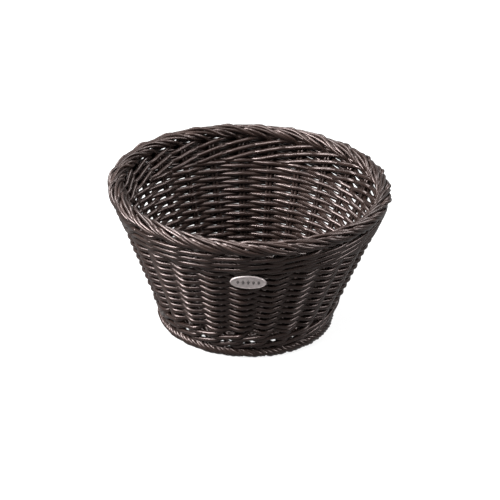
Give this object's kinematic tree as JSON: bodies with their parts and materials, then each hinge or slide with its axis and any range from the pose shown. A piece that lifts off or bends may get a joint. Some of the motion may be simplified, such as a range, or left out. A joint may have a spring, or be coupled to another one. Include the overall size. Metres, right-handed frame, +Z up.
{
  "type": "woven fruit basket",
  "caption": "Round open basket woven from thin dark strands on paired upright rods, with a rolled rim, a foot border and a blank oval badge.",
  "frame": {"origin": "on the table, under the middle of the basket", "axes": "+Z up along the basket's axis, badge facing -Y"},
  "size_m": [0.25, 0.25, 0.135],
  "materials": {
    "woven_strand": "satin, very dark brown synthetic cane",
    "badge_metal": "satin, light grey"
  },
  "bodies": {
    "root": {"stake_01_left": "woven_strand", "stake_01_right": "woven_strand", "stake_02_left": "woven_strand", "stake_02_right": "woven_strand", "stake_03_left": "woven_strand", "stake_03_right": "woven_strand", "stake_04_left": "woven_strand", "stake_04_right": "woven_strand", "stake_05_left": "woven_strand", "stake_05_right": "woven_strand", "stake_06_left": "woven_strand", "stake_06_right": "woven_strand", "stake_07_left": "woven_strand", "stake_07_right": "woven_strand", "stake_08_left": "woven_strand", "stake_08_right": "woven_strand", "stake_09_left": "woven_strand", "stake_09_right": "woven_strand", "stake_10_left": "woven_strand", "stake_10_right": "woven_strand", "stake_11_left": "woven_strand", "stake_11_right": "woven_strand", "stake_12_left": "woven_strand", "stake_12_right": "woven_strand", "stake_13_left": "woven_strand", "stake_13_right": "woven_strand", "stake_14_left": "woven_strand", "stake_14_right": "woven_strand", "stake_15_left": "woven_strand", "stake_15_right": "woven_strand", "stake_16_left": "woven_strand", "stake_16_right": "woven_strand", "stake_17_left": "woven_strand", "stake_17_right": "woven_strand", "stake_18_left": "woven_strand", "stake_18_right": "woven_strand", "stake_19_left": "woven_strand", "stake_19_right": "woven_strand", "stake_20_left": "woven_strand", "stake_20_right": "woven_strand", "stake_21_left": "woven_strand", "stake_21_right": "woven_strand", "stake_22_left": "woven_strand", "stake_22_right": "woven_strand", "stake_23_left": "woven_strand", "stake_23_right": "woven_strand", "stake_24_left": "woven_strand", "stake_24_right": "woven_strand", "stake_25_left": "woven_strand", "stake_25_right": "woven_strand", "rim_border": "woven_strand", "upper_wale": "woven_strand", "body_weave": "woven_strand", "lower_wale": "woven_strand", "foot_border": "woven_strand", "base_weave": "woven_strand", "base_sticks_lower": "woven_strand", "base_sticks_upper": "woven_strand", "badge_plate": "badge_metal"}
  },
  "joints": []
}
